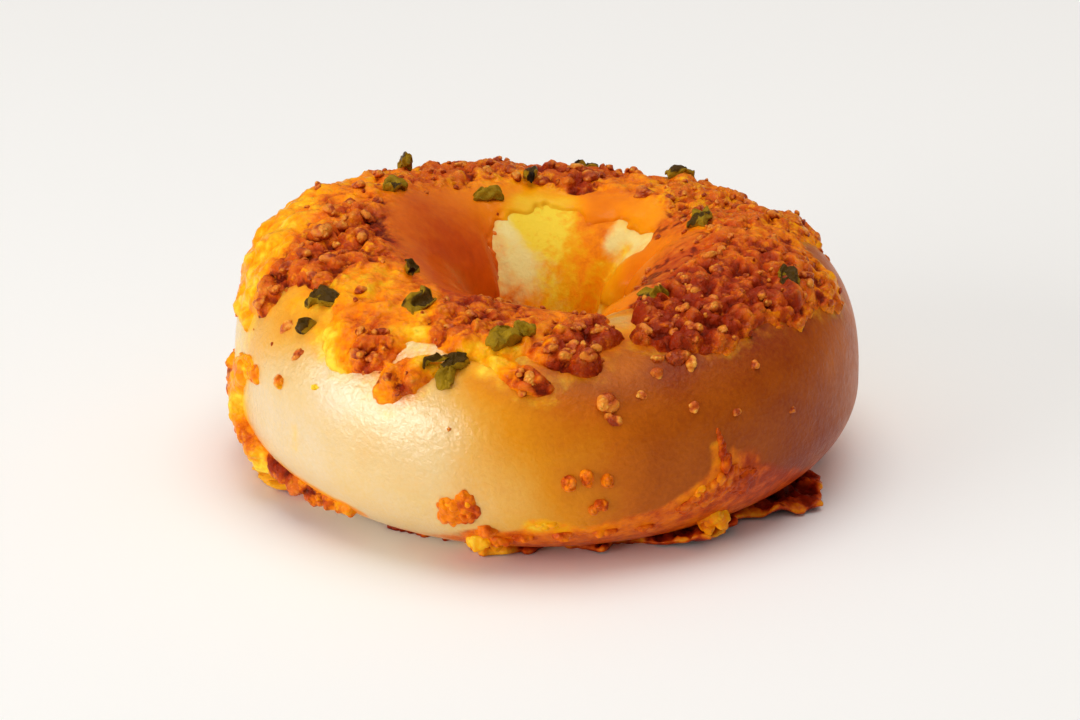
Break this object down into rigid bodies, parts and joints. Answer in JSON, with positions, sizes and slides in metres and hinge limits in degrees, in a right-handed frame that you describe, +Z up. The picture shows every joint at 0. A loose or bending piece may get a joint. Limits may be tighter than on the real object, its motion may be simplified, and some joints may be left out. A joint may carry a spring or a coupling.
{
  "type": "bagel",
  "caption": "Ring bagel with melted and toasted cheese, cheese crumbs and chopped green pepper baked on, lying on its flat base.",
  "frame": {"origin": "middle of the outline, on the surface the bagel rests on", "axes": "+Z up through the hole, -Y towards the side shown in the picture, +X to its right"},
  "size_m": [0.1052, 0.103, 0.045],
  "materials": {
    "dough": "smooth, slightly glossy baked crust, pale cream low down and golden brown above",
    "cheese": "melted cheese, yellow to orange, with toasted red-brown lumps",
    "crumb": "toasted cheese crumbs with tan tops",
    "pepper": "chopped green pepper, dark wrinkled skin, olive flesh, charred tips"
  },
  "bodies": {
    "root": {"bagel": "dough"}
  },
  "joints": []
}
